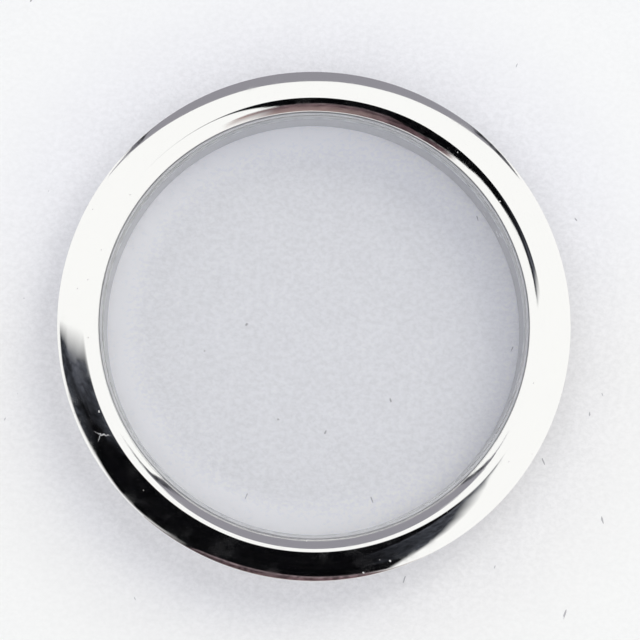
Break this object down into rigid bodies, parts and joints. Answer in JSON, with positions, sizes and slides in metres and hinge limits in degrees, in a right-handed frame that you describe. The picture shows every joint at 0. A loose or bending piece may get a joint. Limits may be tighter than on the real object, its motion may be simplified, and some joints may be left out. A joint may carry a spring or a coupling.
{
  "type": "watch crystal in bezel",
  "caption": "Flat round watch crystal sealed in a mirror-polished domed steel bezel with a press-in skirt.",
  "frame": {"origin": "on the ring's axis at the foot of the skirt, which is the lowest face of the part", "axes": "+Z along the ring's axis, out of the face of the glass; +Y towards twelve o'clock; +X towards three o'clock"},
  "size_m": [0.04, 0.04, 0.0048],
  "materials": {
    "polished_steel": "mirror-polished stainless steel, fine handling scratches",
    "mineral_glass": "clear flat mineral glass, ground edge",
    "gasket_nylon": "translucent grey moulded nylon"
  },
  "bodies": {
    "root": {"bezel_ring": "polished_steel", "crystal": "mineral_glass", "crystal_gasket": "gasket_nylon"}
  },
  "joints": []
}
